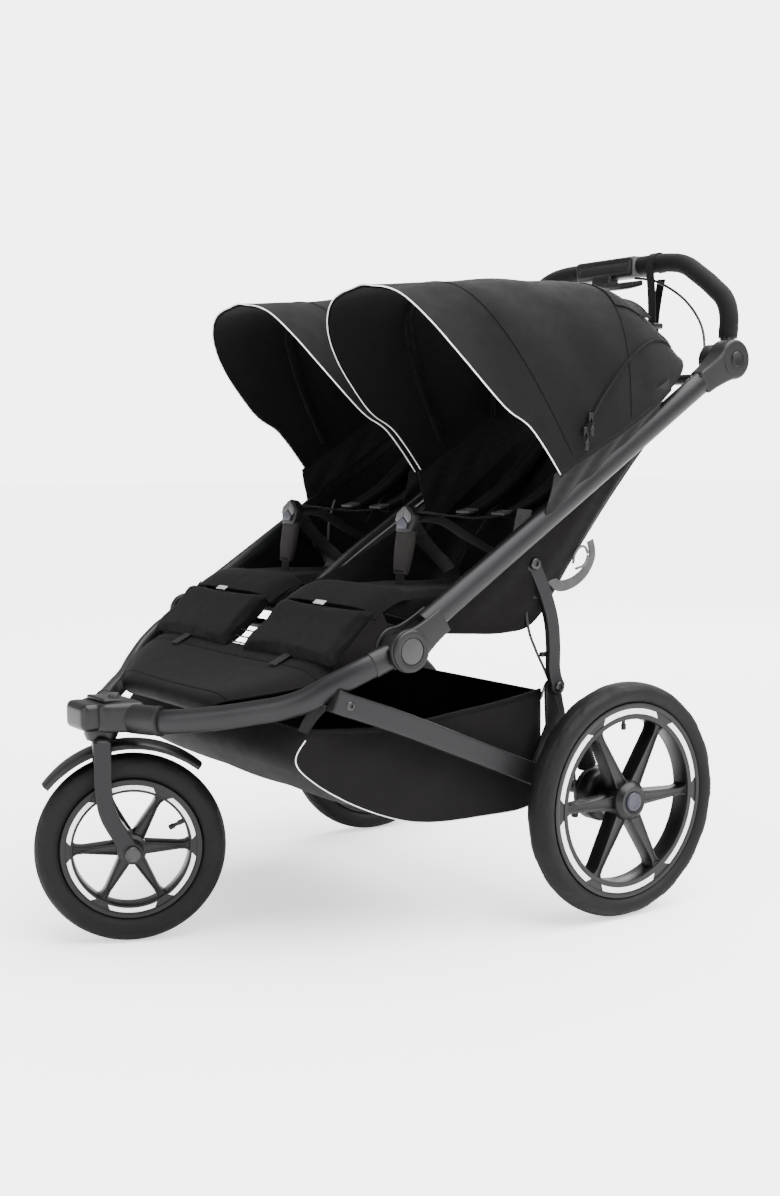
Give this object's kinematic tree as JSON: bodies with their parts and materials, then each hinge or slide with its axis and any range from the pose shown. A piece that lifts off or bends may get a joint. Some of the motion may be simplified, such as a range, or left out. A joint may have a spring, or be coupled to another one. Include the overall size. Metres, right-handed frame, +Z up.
{
  "type": "double jogging stroller",
  "caption": "Side-by-side double jogging stroller with two canopies, a swivelling front wheel, sprung rear wheels, a folding tube frame, an adjustable handlebar and a storage basket.",
  "frame": {"origin": "on the ground, under the middle of the stroller's box", "axes": "+X to the stroller's left, -Y the way it travels, +Z up"},
  "size_m": [0.8, 1.216, 1.1526],
  "materials": {
    "frame": "satin anodised",
    "housing": "fine grain",
    "rim": "satin",
    "tyre": "matt",
    "rubber": "matt",
    "steel": "brushed",
    "grip": "foam",
    "cloth": "woven"
  },
  "bodies": {
    "front_frame": {"front_tube_left": "frame", "front_tube_right": "frame", "head_housing": "housing", "head_cap": "housing", "footwell_tray": "housing"},
    "fork": {"fork": "frame", "fender": "housing", "front_axle": "steel"},
    "front_wheel": {"front_tyre": "tyre", "front_rim": "rim"},
    "swivel_lock": {"swivel_lock_button": "housing"},
    "upper_frame": {"upper_tube_left": "frame", "upper_tube_right": "frame", "hinge_cap_left": "housing", "hinge_cap_right": "housing", "handle_housing_left": "housing", "handle_housing_right": "housing", "seat_cross_bar": "frame", "rear_cross_bar": "frame", "middle_tube": "frame", "seat_base_left": "cloth", "seat_base_right": "cloth", "leg_pad_left": "cloth", "leg_pad_right": "cloth", "crotch_buckle_left": "housing", "crotch_buckle_right": "housing", "canopy_left": "cloth", "canopy_right": "cloth", "brake_cable": "rubber"},
    "handle": {"handlebar": "frame", "grip": "grip", "brake_mount": "housing"},
    "brake_squeeze": {"brake_lever": "housing"},
    "rail": {"lower_rail_left": "frame", "lower_rail_right": "frame", "basket": "cloth", "shock_bellows_left": "rubber", "shock_bellows_right": "rubber"},
    "axle": {"rear_axle_beam": "frame", "brake_drum_left": "housing", "brake_drum_right": "housing"},
    "strut_left_link": {"strut_left": "frame"},
    "wheel_left": {"rear_left_tyre": "tyre", "rear_left_rim": "rim"},
    "hub_left": {"release_button_left": "housing"},
    "back_left": {"seat_back_left": "cloth"},
    "bow_left": {"canopy_bow_left": "housing"},
    "release_left": {"buckle_button_left": "housing"},
    "angle_left": {"angle_button_left": "housing"},
    "strut_right_link": {"strut_right": "frame"},
    "wheel_right": {"rear_right_tyre": "tyre", "rear_right_rim": "rim"},
    "hub_right": {"release_button_right": "housing"},
    "back_right": {"seat_back_right": "cloth"},
    "bow_right": {"canopy_bow_right": "housing"},
    "release_right": {"buckle_button_right": "housing"},
    "angle_right": {"angle_button_right": "housing"}
  },
  "joints": [
    {"name": "steer", "type": "hinge", "parent": "front_frame", "child": "fork", "pos_m": [0, -0.50656, 0.33], "axis": [0, 0, 1], "continuous": true},
    {"name": "front_wheel_spin", "type": "hinge", "parent": "fork", "child": "front_wheel", "pos_m": [0.01691, -0.46594, 0.153], "axis": [0.9232, -0.3843, 0], "continuous": true},
    {"name": "swivel_lock_press", "type": "slide", "parent": "front_frame", "child": "swivel_lock", "axis": [0, 0, -1], "range_m": [0, 0.003], "stiffness_N_per_m": 400, "springref_m": -0.002},
    {"name": "fold", "type": "hinge", "parent": "front_frame", "child": "upper_frame", "pos_m": [0, -0.16256, 0.484], "axis": [-1, 0, 0], "range_deg": [0, 100], "deforming": ["basket"]},
    {"name": "rail_fold", "type": "hinge", "parent": "front_frame", "child": "rail", "pos_m": [0, -0.25156, 0.404], "axis": [-1, 0, 0], "range_deg": [0, 77.5]},
    {"name": "suspension", "type": "slide", "parent": "rail", "child": "axle", "axis": [0, -0.42, 0.9075], "range_m": [0, 0.018], "stiffness_N_per_m": 16000, "springref_m": -0.018, "deforming": ["shock_bellows_left", "shock_bellows_right"]},
    {"name": "handle_tilt", "type": "hinge", "parent": "upper_frame", "child": "handle", "pos_m": [0, 0.53344, 0.944], "axis": [-1, 0, 0], "range_deg": [-15, 70]},
    {"name": "brake_squeeze_hinge", "type": "hinge", "parent": "handle", "child": "brake_squeeze", "pos_m": [0, 0.58044, 1.105], "axis": [-1, 0, 0], "range_deg": [0, 12], "stiffness_Nm_per_rad": 0.6, "springref_deg": -8.59},
    {"name": "strut_left_fold", "type": "hinge", "parent": "upper_frame", "child": "strut_left_link", "pos_m": [0.319, 0.11344, 0.603], "axis": [1, 0, 0], "range_deg": [0, 64]},
    {"name": "rear_wheel_spin_left", "type": "hinge", "parent": "axle", "child": "wheel_left", "pos_m": [0.37, 0.27644, 0.2], "axis": [1, 0, 0], "continuous": true},
    {"name": "wheel_release_left", "type": "slide", "parent": "wheel_left", "child": "hub_left", "axis": [-1, 0, 0], "range_m": [0, 0.003], "stiffness_N_per_m": 400, "springref_m": -0.002},
    {"name": "recline_left", "type": "hinge", "parent": "upper_frame", "child": "back_left", "pos_m": [0.18, 0.15844, 0.548], "axis": [-1, 0, 0], "range_deg": [-6, 18]},
    {"name": "canopy_fold_left", "type": "hinge", "parent": "upper_frame", "child": "bow_left", "pos_m": [0.195, 0.17144, 0.8], "axis": [-1, 0, 0], "range_deg": [0, 70], "deforming": ["canopy_left"]},
    {"name": "buckle_press_left", "type": "slide", "parent": "upper_frame", "child": "release_left", "axis": [0, 1, 0], "range_m": [0, 0.002], "stiffness_N_per_m": 300, "springref_m": -0.002},
    {"name": "angle_press_left", "type": "slide", "parent": "upper_frame", "child": "angle_left", "axis": [-1, 0, 0], "range_m": [0, 0.003], "stiffness_N_per_m": 400, "springref_m": -0.002},
    {"name": "strut_right_fold", "type": "hinge", "parent": "upper_frame", "child": "strut_right_link", "pos_m": [-0.319, 0.11344, 0.603], "axis": [1, 0, 0], "range_deg": [0, 64]},
    {"name": "rear_wheel_spin_right", "type": "hinge", "parent": "axle", "child": "wheel_right", "pos_m": [-0.37, 0.27644, 0.2], "axis": [1, 0, 0], "continuous": true},
    {"name": "wheel_release_right", "type": "slide", "parent": "wheel_right", "child": "hub_right", "axis": [1, 0, 0], "range_m": [0, 0.003], "stiffness_N_per_m": 400, "springref_m": -0.002},
    {"name": "recline_right", "type": "hinge", "parent": "upper_frame", "child": "back_right", "pos_m": [-0.18, 0.15844, 0.548], "axis": [-1, 0, 0], "range_deg": [-6, 18]},
    {"name": "canopy_fold_right", "type": "hinge", "parent": "upper_frame", "child": "bow_right", "pos_m": [-0.195, 0.17144, 0.8], "axis": [-1, 0, 0], "range_deg": [0, 70], "deforming": ["canopy_right"]},
    {"name": "buckle_press_right", "type": "slide", "parent": "upper_frame", "child": "release_right", "axis": [0, 1, 0], "range_m": [0, 0.002], "stiffness_N_per_m": 300, "springref_m": -0.002},
    {"name": "angle_press_right", "type": "slide", "parent": "upper_frame", "child": "angle_right", "axis": [1, 0, 0], "range_m": [0, 0.003], "stiffness_N_per_m": 400, "springref_m": -0.002}
  ],
  "couplings": [
    {"joint": "rail_fold", "follows": "fold", "ratio": 0.77},
    {"joint": "strut_left_fold", "follows": "fold", "ratio": 0.63},
    {"joint": "strut_right_fold", "follows": "fold", "ratio": 0.63}
  ]
}
